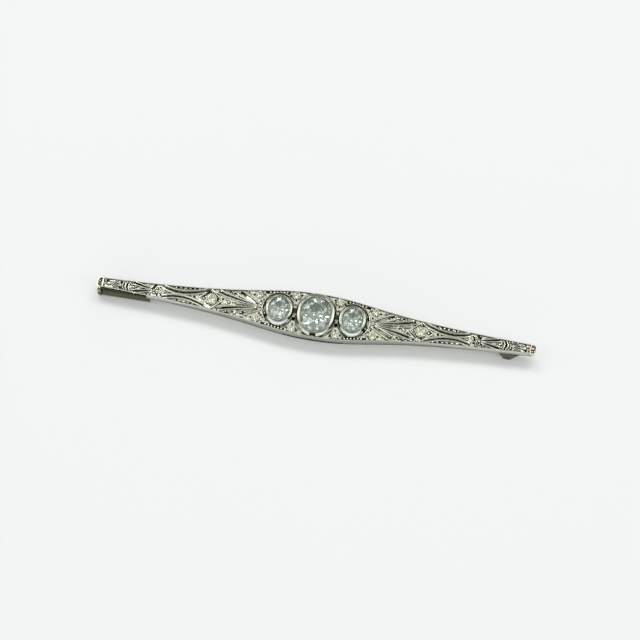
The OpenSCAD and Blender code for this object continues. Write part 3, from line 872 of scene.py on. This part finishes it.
@dataclass
class ColletRims:
    """The rubbed-over rims of the main collets, and the fine ring that runs round each."""

    girdle_z: float = 4.30
    wall: float = 0.36
    # the rim: its inner edge as a share of the girdle, how far it laps over inward and outward, and the
    # heights of its edge over the girdle and of its crown over that edge
    lip: float = 0.97
    inner_lap: float = 0.01
    outer_lap: float = 0.004
    rim_z: float = 0.185
    rim_crown: float = 0.105
    rim_sides: int = 96
    rim_rows: int = 15
    # depth of the groove on the crown, and its reach as a share of the crown
    groove: float = 0.05
    groove_reach: float = 0.12
    # waves of the hand-pushed edge: how many round the rim, how much they turn with x, and how high
    waves: tuple[Triple, ...] = ((5, 1, 0.018), (11, 2, 0.012))
    # the skirt: where it starts to flare, how far it flares, and how far it falls on the way
    skirt_drop: float = 0.16
    skirt: float = 0.30
    skirt_fall: float = 0.43
    # the band of painted shade on the skirt: its top over the girdle, how far it stands off the wall and over
    # the skirt, its span, and the shares of the skirt at which its rows lie
    dark_top: float = 0.12
    dark_lift: float = 0.008
    dark_rise: float = 0.01
    dark_span: Point = (-40.0, 220.0)
    dark_rows: Triple = (0.0, 0.2, 0.4)
    # the crescent of painted reflection on the near side: its top over the girdle, how far it stands off the
    # wall, and its knee and foot as shares of the spread and falls from the top
    bright_top: float = 0.15
    bright_lift: float = 0.012
    knee: Point = (0.30, 0.13)
    foot_fall: float = 0.62
    # how thick both bands are, and how a crescent's width runs out to its points
    band_depth: float = 0.03
    least_share: float = 0.02
    share_power: float = 0.6
    ring_width: float = 0.20
    ring_height: float = 0.24
    ring_sink: float = 0.01
    ring_least_points: int = 6
    band_least_steps: int = 12
    degrees_a_step: float = 5.0
    collets: tuple[Collet, ...] = (
        Collet(0.0, 2.44, 0.27, 0.38, ((52, 78), (102, 128)), 0.32, ((216, 258), (282, 324))),
        Collet(5.55, 1.66, 0.13, 0.57, ((-46, 46), (50, 120)), 0.44, ((218, 322),)),
        Collet(-5.55, 1.66, 0.13, 0.57, ((134, 226), (60, 130)), 0.44, ((218, 322),)),
    )

    def _rim(self, sketch: MeshSketch, collet: Collet) -> None:
        """Adds one rim, slightly uneven as if pushed over by hand.

        Args:
            sketch: the mesh to add to.
            collet: the collet that it belongs to.
        """
        inner = self.lip * collet.girdle - self.inner_lap
        outer = collet.girdle + self.wall + self.outer_lap
        middle, half = (inner + outer) / 2, (outer - inner) / 2
        sides, rows = self.rim_sides, self.rim_rows
        points = []
        for i in range(sides):
            a = 2 * math.pi * (i + 0.5) / sides
            sway = sum(high * math.sin(count * a + turn * collet.x) for count, turn, high in self.waves)
            for k in range(rows):
                b = math.pi * k / (rows - 1)
                radius = middle - half * math.cos(b) + (sway if 0 < k < rows // 2 else 0.0)
                groove = self.groove * math.exp(-(((b / math.pi - 0.5) / self.groove_reach) ** 2))
                z = self.girdle_z + self.rim_z + (self.rim_crown + sway * 0.5) * math.sin(b) - groove
                points.append((collet.x + radius * math.cos(a), radius * math.sin(a) + collet.shift(a), z))
        starts = [(i * rows, (i + 1) % sides * rows) for i in range(sides)]
        faces = [(m + k, m + k + 1, n + k + 1, n + k) for m, n in starts for k in range(rows - 1)]
        under = [(m + rows - 1, m, n, n + rows - 1) for m, n in starts]
        sketch.add(points, faces, True, under)

    def _bright_rows(self, share: float, spread: float) -> tuple[Point, ...]:
        """A section of the crescent of painted reflection, as distances outside the wall and from the girdle.

        Args:
            share: how much of its full width the crescent has here.
            spread: how far its foot stands out at full width.

        Returns:
            Four points from the top down.
        """
        out, fall = self.knee
        return ((0.0, self.bright_top), (spread * out * share, self.bright_top - fall * share),
                (spread * share, self.bright_top - self.foot_fall * share),
                (spread * share, BAR.ground_z - self.girdle_z))

    def _dark_rows(self) -> tuple[Point, ...]:
        """A section of the band of painted shade, as distances outside the wall and from the girdle.

        Returns:
            Four points from the top down.
        """
        flare = (
            (self.skirt * s, -self.skirt_drop - self.skirt_fall * s + self.dark_rise) for s in self.dark_rows)
        return ((0.0, self.dark_top), *flare)

    def _skirt(self, sketch: MeshSketch, collet: Collet, span: Point, bright: bool) -> None:
        """Adds a band that lies on part of a collet's skirt.

        Args:
            sketch: the mesh to add to.
            collet: the collet that it belongs to.
            span: where the band starts and ends.
            bright: whether it is the crescent of painted reflection, which runs out to points, or the band of
                painted shade.
        """
        outer = collet.girdle + self.wall + (self.bright_lift if bright else self.dark_lift)
        steps = max(self.band_least_steps, int((span[1] - span[0]) / self.degrees_a_step))
        sections = []
        for i in range(steps + 1):
            a = math.radians(span[0] + (span[1] - span[0]) * i / steps)
            share = max(self.least_share, abs(math.sin(math.pi * i / steps)) ** self.share_power)
            rows = self._bright_rows(share, collet.spread) if bright else self._dark_rows()
            shown = len(rows) - 1
            rows += tuple((out - self.band_depth, z) for out, z in rows[::-1])
            sections.append([
                (collet.x + (outer + out) * math.cos(a), (outer + out) * math.sin(a) + collet.shift(a),
                 self.girdle_z + z) for out, z in rows])
        sketch.tube(sections, shown, True)

    def build_skirts(self, bright: bpy.types.Material, dark: bpy.types.Material) -> None:
        """Builds the painted reflection on the skirts' near sides and the painted shade on the rest of them.

        Args:
            bright: the finish of the near sides.
            dark: the finish of the rest.
        """
        polish_and_reflection, shade_and_tarnish = MeshSketch("painted_reflection_skirts"), MeshSketch("painted_shade_skirts")
        for collet in self.collets:
            for span in collet.bright_spans:
                self._skirt(polish_and_reflection, collet, span, True)
            self._skirt(shade_and_tarnish, collet, self.dark_span, False)
        polish_and_reflection.build(bright)
        shade_and_tarnish.build(dark)

    def build_rims(self, material: bpy.types.Material) -> bpy.types.Object:
        """Builds the rims as one mesh.

        Args:
            material: the finish.

        Returns:
            The new object.
        """
        sketch = MeshSketch("collet_rims")
        for collet in self.collets:
            self._rim(sketch, collet)
        return sketch.build(material)

    def build_rings(self, material: bpy.types.Material) -> bpy.types.Object:
        """Builds the rings as one mesh.

        Args:
            material: the finish.

        Returns:
            The new object.
        """
        sketch = MeshSketch("collet_rings")
        for collet in self.collets:
            ring = collet.girdle + self.wall + collet.ring_gap
            for start, end in collet.ring_spans:
                count = max(self.ring_least_points, int(abs(end - start) / self.degrees_a_step))
                path = [(collet.x + ring * math.cos(a), ring * math.sin(a) + collet.stretch * math.sin(a))
                        for a in np.radians(np.linspace(start, end, count))]
                foot = BAR.ground_z - self.ring_sink
                sketch.line(path, self.ring_width / 2, self.ring_height, foot, Profile.ROUND)
        return sketch.build(material)


@dataclass
class TieCaps:
    """The rounded tops of the short bars between the collets."""

    top_z: float = 3.97
    sink: float = 0.005
    rise: float = 0.06
    inner_x: float = 2.85
    outer_x: float = 3.60
    steps: int = 4
    # y of the middle line, half width
    ties: tuple[Point, ...] = ((0.69, 0.24), (-0.735, 0.16))

    def build(self, material: bpy.types.Material) -> bpy.types.Object:
        """Builds the caps as one mesh.

        Args:
            material: the finish.

        Returns:
            The new object.
        """
        sketch = MeshSketch("tie_caps")
        for sx, _ in ENDS:
            for y, half in self.ties:
                path = [(sx * x, y) for x in np.linspace(self.inner_x, self.outer_x, self.steps)]
                sketch.line(path, half, self.rise, self.top_z - self.sink, Profile.CROWN)
        return sketch.build(material)


class EdgeLook(Enum):
    """Painted light and shade of the bands along a stretch of the edge, from the top down."""

    PLAIN = (Metal.BRIGHT_EDGE, Metal.HALF_SHADE_EDGE, Metal.FOOT_SHADE_EDGE)
    # painted deeper shade along the foot of the wall under the middle
    MIDDLE = (Metal.HALF_SHADE_EDGE, Metal.HALF_SHADE_EDGE, Metal.TARNISH_AND_SHADE)
    # painted shade over the whole wall above the catch
    CATCH = (Metal.TARNISH_AND_SHADE, Metal.TARNISH_AND_SHADE, Metal.TARNISH_AND_SHADE)


@dataclass
class EdgeWalls:
    """The bar's long edges: painted light and shade, a lit band and a half-shaded band over a shaded line at
    the foot.
    """

    # where the bands end at both tips, and the pitch and least number of the points along them
    reach: float = 32.7
    pitch: float = 0.5
    least_points: int = 8
    # how far the bands stand off the wall, how thick they are, and the hair's gap between stretches
    lift: float = 0.012
    depth: float = 0.03
    gap: float = 0.002
    # x, shares of the wall's height where the lit band and the half-shaded band end
    shade_limits: tuple[Triple, ...] = (
        (-33.0, 0.94, 0.97), (-25.6, 0.94, 0.97), (-19.0, 0.50, 0.70), (-12.0, 0.03, 0.68),
        (-4.6, 0.03, 0.70), (0.0, 0.03, 0.60), (4.6, 0.03, 0.70), (11.0, 0.03, 0.68),
        (19.0, 0.50, 0.70), (26.0, 0.94, 0.97), (33.0, 0.94, 0.97),
    )
    top_inset: float = 0.02
    back_inset: float = 0.01
    back_z: float = 2.45
    belly: float = 0.45
    # x, share of the belly
    belly_line: tuple[Point, ...] = ((0.0, 1.0), (8.2, 1.0), (15.0, 0.62), (24.5, 0.0), (33.0, 0.0))
    # where each stretch of an edge starts and its look, from left to right
    far_looks: tuple[tuple[float, EdgeLook], ...] = ((-32.7, EdgeLook.PLAIN),)
    near_looks: tuple[tuple[float, EdgeLook], ...] = (
        (-32.7, EdgeLook.CATCH), (-25.6, EdgeLook.PLAIN), (-4.6, EdgeLook.MIDDLE), (4.6, EdgeLook.PLAIN),
    )
    # the mesh that holds all bands of a finish
    meshes: tuple[tuple[Metal, str], ...] = (
        (Metal.HALF_SHADE_EDGE, "half_shade_edges"), (Metal.FOOT_SHADE_EDGE, "foot_shade_edges"),
        (Metal.TARNISH_AND_SHADE, "dark_edges"), (Metal.BRIGHT_EDGE, "bright_edges"),
    )

    def _band(self, sketch: MeshSketch, side: int, upper: int, lower: int, start: float, end: float) -> None:
        """Adds one band along one stretch of an edge.

        Args:
            sketch: the mesh to add to.
            side: 1 for the far edge, -1 for the near edge.
            upper: the limit that it starts at: 0 is the top of the wall, 1 and 2 the limits of the lit and
                half-shaded bands.
            lower: the limit that it ends at, up to 3 for the foot of the wall.
            start: where it starts along the bar.
            end: where it ends.
        """
        xs = np.linspace(start, end - self.gap, max(self.least_points, int((end - start) / self.pitch)))
        places, shares = zip(*self.belly_line)
        limit_places, *limit_shares = zip(*self.shade_limits)
        top = BAR.top_z - self.top_inset
        sections = []
        for x in xs:
            back = self.back_z - self.belly * float(np.interp(abs(x), places, shares)) + self.back_inset
            limits = (0.0, *(float(np.interp(x, limit_places, part)) for part in limit_shares), 1.0)
            outside = BAR.half_width(x) + self.lift
            high, low = (top - limits[place] * (top - back) for place in (upper, lower))
            inside = outside - self.depth
            corners = ((outside, high), (outside, low), (inside, low), (inside, high))
            sections.append([(x, side * y, z) for y, z in corners])
        sketch.tube(sections if side < 0 else sections[::-1], 1, True)

    def build(self, finishes: dict[Metal, bpy.types.Material]) -> None:
        """Builds the bands, one mesh for each finish.

        Args:
            finishes: the materials by finish.
        """
        sketches = {metal: MeshSketch(name) for metal, name in self.meshes}
        for side, looks in ((1, self.far_looks), (-1, self.near_looks)):
            ends = [start for start, _ in looks[1:]] + [self.reach]
            for (start, look), end in zip(looks, ends):
                for metal in dict.fromkeys(look.value):
                    bands = [band for band, finish in enumerate(look.value) if finish == metal]
                    self._band(sketches[metal], side, bands[0], bands[-1] + 1, start, end)
        for metal, sketch in sketches.items():
            sketch.build(finishes[metal])


@dataclass
class DarkGrounds:
    """Near-black ground, part tarnish and part painted shade: pits, rings of shade round single grains,
    shoulders of openings and strips.
    """

    # the strip between the beads of the middle's edges
    rim_from: float = 4.3
    rim_to: float = 8.0
    rim_steps: int = 24
    rim_inset: float = 0.36
    rim_half: float = 0.20
    rim_height: float = 0.012
    rim_sink: float = 0.002
    # how far the ring round a grain reaches past it
    margin: float = 0.10
    sides: int = 12
    depth: float = 0.01
    proud: float = 0.006
    strip_height: float = 0.022
    pits: tuple[Disc, ...] = (
        (-32.82, 0.42, 0.15), (-32.84, -0.42, 0.14), (-32.2, -0.36, 0.16), (-29.62, 0.46, 0.20),
        (-29.15, 0.16, 0.19), (-29.8, -0.40, 0.19), (-31.7, 0.40, 0.19), (-31.05, 0.16, 0.21),
        (-27.75, 0.04, 0.19), (-27.1, 0.20, 0.18), (-25.7, -0.74, 0.15), (-23.4, 0.52, 0.16),
        (-22.2, -0.55, 0.16), (-24.05, -0.66, 0.17), (-25.2, -0.26, 0.16), (-23.5, -0.62, 0.15),
        (-30.5, -0.30, 0.15), (-26.3, -0.02, 0.16), (30.0, 0.38, 0.19), (29.5, 0.22, 0.18),
        (31.7, -0.34, 0.20), (28.1, -0.42, 0.16), (24.9, 0.62, 0.15), (23.95, 0.42, 0.16),
        (22.95, -0.46, 0.15), (23.97, 0.12, 0.20), (22.72, 0.20, 0.14), (32.12, -0.30, 0.14),
        (24.5, -0.36, 0.13), (25.05, -0.52, 0.13), (24.45, -0.92, 0.13), (23.85, -0.45, 0.15),
        (31.0, 0.30, 0.15), (-13.6, 0.30, 0.16), (-14.86, 0.12, 0.24), (-14.55, -0.46, 0.24),
        (-14.15, 0.28, 0.17), (-10.9, -1.20, 0.17), (10.9, 1.36, 0.17), (13.9, -0.62, 0.17),
        (14.9, -1.36, 0.16), (-8.1, 1.30, 0.14), (-9.9, 1.20, 0.13), (9.9, 1.25, 0.14), (8.15, -1.35, 0.15),
        (-8.2, -1.25, 0.15), (-9.95, -1.30, 0.13), (9.95, -1.30, 0.14), (10.3, 2.00, 0.12),
        (-10.35, 2.00, 0.13), (16.05, -1.02, 0.17), (15.30, 1.06, 0.14), (16.4, 0.98, 0.13),
    )
    # start, end and width of strips inside the lozenge frames
    strips: tuple[tuple[Point, Point, float], ...] = (
        ((-17.20, 0.20), (-16.02, 1.20), 0.27), ((14.60, -0.42), (15.50, -1.14), 0.22),
        ((-14.75, 0.62), (-15.25, 1.02), 0.16),
    )
    # the end openings: curve, distance of the shoulders along and across the bar, their width
    shoulders: tuple[tuple[Curve, float, float, float], ...] = (
        (((28.45, -0.68), (29.05, 0.0), (28.45, 0.68)), 0.18, 0.0, 0.13),
        (((24.35, 0.93), (24.75, 0.5), (24.78, 0.08)), 0.17, 0.0, 0.13),
        (((25.55, 0.22), (26.65, 0.45), (27.75, 0.68)), 0.0, 0.14, 0.10),
    )
    # the rust stain near the right tip
    stain: Disc = (32.03, 0.12, 0.19)

    def _disc(self, sketch: MeshSketch, x: float, y: float, r: float) -> None:
        """Adds one flat round patch."""
        levels = (BAR.ground_z - self.depth, BAR.ground_z + self.proud)
        sketch.tube([circle(x, y, r, z, self.sides) for z in levels], self.sides, False)

    def build_stain(self, material: bpy.types.Material) -> bpy.types.Object:
        """Builds the rust stain.

        Args:
            material: the finish.

        Returns:
            The new object.
        """
        sketch = MeshSketch("rust_stain")
        self._disc(sketch, *self.stain)
        return sketch.build(material)

    def build(self, material: bpy.types.Material, grains: Millegrain) -> bpy.types.Object:
        """Builds the dark grounds as one mesh.

        Args:
            material: their finish.
            grains: the grains that stand in rings.

        Returns:
            The new object.
        """
        sketch = MeshSketch("dark_grounds")
        for x, y, r in grains.single_grains():
            self._disc(sketch, x, y, r + self.margin)
        for pit in self.pits:
            self._disc(sketch, *pit)
        for curve, dx, dy, width in self.shoulders:
            for side in (1, -1):
                for signs in QUARTERS if dy else ENDS:
                    shoulder = flipped(moved(curve, side * dx, side * dy), *signs)
                    sketch.curve(shoulder, width, self.strip_height, Profile.CROWN)
        for start, end, width in self.strips:
            sketch.curve(straight(start, end), width, self.strip_height, Profile.CROWN)
        xs = np.linspace(self.rim_from, self.rim_to, self.rim_steps)
        for sx, sy in QUARTERS:
            path = [(sx * x, sy * (BAR.half_width(x) - self.rim_inset)) for x in xs]
            foot = BAR.ground_z - self.rim_sink
            sketch.line(path, self.rim_half, self.rim_height, foot, Profile.CROWN)
        return sketch.build(material)


@dataclass
class CatchPost:
    """The lighter post at the left end of the catch, a little proud of the solid's."""

    left: float = -33.212
    right: float = -32.690
    half: float = 0.862
    low: float = 0.004
    high: float = 2.44
    chamfer: float = 0.05

    def build(self, material: bpy.types.Material) -> bpy.types.Object:
        """Builds the post as a chamfered sleeve.

        Args:
            material: the finish.

        Returns:
            The new object.
        """
        sketch = MeshSketch("catch_post")
        c, left, right, half = self.chamfer, self.left, self.right, self.half
        outline = (
            (left + c, -half), (right - c, -half), (right, -half + c), (right, half - c),
            (right - c, half), (left + c, half), (left, half - c), (left, -half + c))
        middle = (left + right) / 2
        sections = []
        for z, shrink in ((self.low, c), (self.low + c, 0.0), (self.high - c, 0.0), (self.high, c)):
            lengthwise, crosswise = 1 - shrink / (right - left) * 2, 1 - shrink / half
            sections.append([(middle + (x - middle) * lengthwise, y * crosswise, z) for x, y in outline])
        sketch.tube(sections, len(outline), False)
        return sketch.build(material, "fitting_metal")


# The stage


def direction(azimuth: float, elevation: float) -> Vector:
    """The direction from the brooch to something seen at these angles."""
    a, e = math.radians(azimuth), math.radians(elevation)
    return Vector((math.sin(a) * math.cos(e), -math.cos(a) * math.cos(e), math.sin(e)))


def place_facing(thing: bpy.types.Object, location: Vector, back: Vector) -> None:
    """Puts a lamp or the camera in the scene.

    Args:
        thing: the lamp or the camera.
        location: where it stands, in metres.
        back: the direction that it turns its back to.
    """
    thing.location = location
    thing.rotation_mode = "QUATERNION"
    thing.rotation_quaternion = (-back).to_track_quat("-Z", "Y")
    bpy.context.scene.collection.objects.link(thing)


@dataclass(frozen=True)
class Lamp:
    """A soft area lamp that points at the brooch."""

    name: str
    azimuth: float
    elevation: float
    distance_m: float
    size_m: tuple[float, float]
    watts: float
    mirrored: bool = True
    shadows: bool = True

    def build(self) -> None:
        """Makes the lamp."""
        data = bpy.data.lights.new(self.name, "AREA")
        data.shape = "RECTANGLE"
        data.size, data.size_y = self.size_m
        data.energy = self.watts
        data.use_shadow = self.shadows
        lamp = bpy.data.objects.new(self.name, data)
        lamp.visible_glossy = self.mirrored
        lamp.visible_transmission = self.mirrored
        back = direction(self.azimuth, self.elevation)
        place_facing(lamp, back * self.distance_m, back)


@dataclass
class Studio:
    """Floor, surrounding light, lamps and camera."""

    azimuth: float = 9.5
    elevation: float = 70.0
    lens: float = 135.0
    sensor: float = 36.0
    view_width: float = 95.6
    shift_right: float = 0.63
    shift_up: float = -0.689
    clip_m: tuple[float, float] = (0.01, 10.0)
    floor_size_m: float = 3.0
    sky_strength: float = 2.20
    # degrees from overhead, front minus and back plus, and the share of the sky's full strength there
    sky_arch: tuple[Point, ...] = (
        (-90.0, 0.50), (-68.0, 0.42), (-56.0, 0.15), (-32.0, 0.15), (-24.0, 0.95), (-8.0, 0.95), (-2.0, 0.32),
        (10.0, 0.25), (30.0, 0.22), (45.0, 0.13), (90.0, 0.20),
    )
    # a darker patch of the sky at the photograph's angle: its full and outer radius, and its colour
    shade_inner: float = 12.0
    shade_outer: float = 20.0
    shade_colour: Colour = (0.035, 0.037, 0.028)
    lamps: tuple[Lamp, ...] = (
        Lamp("back_right", 137.0, 61.5, 1.20, (0.34, 0.34), 2.2),
        Lamp("back_left", 228.0, 59.0, 1.20, (0.34, 0.34), 2.2),
        Lamp("shadow_lamp", 180.0, 72.0, 1.20, (0.5, 0.30), 5.0, mirrored=False),
        Lamp("fill_lamp", 0.0, 88.0, 1.20, (0.5, 0.5), 5.4, mirrored=False, shadows=False),
    )

    def floor(self) -> None:
        """Makes the floor."""
        half = self.floor_size_m / 2
        mesh = bpy.data.meshes.new("floor")
        corners = [(-half, -half, 0), (half, -half, 0), (half, half, 0), (-half, half, 0)]
        mesh.from_pydata(corners, [], [(0, 1, 2, 3)])
        mesh.materials.append(FloorFinish().make())
        made = bpy.data.objects.new("floor", mesh)
        bpy.context.scene.collection.objects.link(made)

    def world(self) -> None:
        """Makes the surrounding light: an arch that changes from front to back, with the darker patch."""
        world = bpy.data.worlds.new("light_tent")
        world.use_nodes = True
        wiring = Wiring(world.node_tree)
        place = wiring.add("TexCoord").outputs["Generated"]
        split = wiring.add("SeparateXYZ", {"Vector": place})
        angle = wiring.add("Math", {0: split.outputs["Y"], 1: split.outputs["Z"]}, operation="ARCTAN2")
        share = wiring.add("MapRange", {
            "From Min": -math.pi / 2, "From Max": math.pi / 2, "Value": angle.outputs[0]})
        arch = wiring.add("ValToRGB", {"Fac": share.outputs["Result"]})
        stops = arch.color_ramp.elements
        for degrees, level in self.sky_arch[1:-1]:
            stops.new((degrees + 90.0) / 180.0).color = (level, level, level, 1)
        for stop, (_, level) in ((stops[0], self.sky_arch[0]), (stops[-1], self.sky_arch[-1])):
            stop.color = (level, level, level, 1)
        view = direction(self.azimuth, self.elevation)
        toward = wiring.add("VectorMath", {1: view, 0: place}, operation="DOT_PRODUCT")
        limits = (math.cos(math.radians(radius)) for radius in (self.shade_outer, self.shade_inner))
        shade = wiring.add("MapRange", {
            **dict(zip(("From Min", "From Max"), limits)), "Value": toward.outputs["Value"]},
            interpolation_type="SMOOTHSTEP")
        darken = wiring.add("Mix", {
            "Factor": shade.outputs["Result"], "A": arch.outputs["Color"], "B": (*self.shade_colour, 1)},
            data_type="RGBA")
        wiring.feed(world.node_tree.nodes["Background"], {
            "Strength": self.sky_strength, "Color": darken.outputs["Result"]})
        bpy.context.scene.world = world

    def camera(self) -> None:
        """Makes the camera at the photograph's angle."""
        back = direction(self.azimuth, self.elevation)
        turn = (-back).to_track_quat("-Z", "Y")
        right, up = turn @ Vector((1, 0, 0)), turn @ Vector((0, 1, 0))
        aim = Vector((0, 0, BAR.top_z)) + right * self.shift_right + up * self.shift_up
        distance = self.view_width * self.lens / self.sensor
        data = bpy.data.cameras.new("camera")
        data.lens, data.sensor_width = self.lens, self.sensor
        data.clip_start, data.clip_end = self.clip_m
        camera = bpy.data.objects.new("camera", data)
        place_facing(camera, (aim + back * distance) * MM, back)
        bpy.context.scene.camera = camera

    def build(self) -> None:
        """Builds the stage."""
        self.floor()
        self.world()
        for lamp in self.lamps:
            lamp.build()
        self.camera()
        bpy.context.scene.view_settings.view_transform = "Standard"
        LOG.info("studio: %d lamps", len(self.lamps))


MAIN_DIAMONDS = ("centre_diamond", "left_diamond", "right_diamond")
SMALL_DIAMONDS = (
    *(f"cell_diamond_{i}" for i in range(1, 9)), "lozenge_diamond_left", "lozenge_diamond_right",
    "tip_diamond_left", "tip_diamond_right")
FITTINGS = ("catch", "hinge", "hinge_rivet", "pin_stem")


def dress(names: Sequence[str], material: bpy.types.Material, nodes: dict[str, bpy.types.Object]) -> None:
    """Gives CAD nodes their finish.

    Args:
        names: the nodes' names.
        material: the finish.
        nodes: the frame's nodes.
    """
    for name in names:
        for slot in nodes[name].material_slots:
            slot.material = material
        LOG.info("%s: %s", name, material.name)


def main() -> None:
    """Builds the brooch's looks in order."""
    logging.basicConfig(level=logging.INFO, format="%(message)s")
    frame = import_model()
    nodes = frame["nodes"]
    groups = NodeGroups()
    metals = {metal: metal.value.make(groups) for metal in Metal}
    polish_and_reflection, shade_and_tarnish = metals[Metal.POLISHED], metals[Metal.TARNISH_AND_SHADE]
    dress(("pierced_bar",), metals[Metal.ENGRAVED], nodes)
    dress(MAIN_DIAMONDS, DiamondFinish("diamond").make(), nodes)
    small = DiamondFinish("small_diamond", (0.83, 0.88, 0.68), clearness=0.86, roughness=0.04)
    dress(SMALL_DIAMONDS, small.make(), nodes)
    dress(FITTINGS, metals[Metal.FITTING], nodes)
    grains, rims, grounds = Millegrain(), ColletRims(), DarkGrounds()
    for work in (RaisedRibs(), Border(), grains, StoneGrains(), BrightCuts()):
        work.build(polish_and_reflection)
    rims.build_rims(metals[Metal.RUBBED])
    rims.build_rings(metals[Metal.RING])
    rims.build_skirts(metals[Metal.SKIRT_REFLECTION], shade_and_tarnish)
    TieCaps().build(metals[Metal.ENGRAVED])
    grounds.build(shade_and_tarnish, grains)
    grounds.build_stain(metals[Metal.RUST])
    EdgeWalls().build(metals)
    CatchPost().build(metals[Metal.POST])
    Studio().build()


if __name__ == "__main__":
    main()
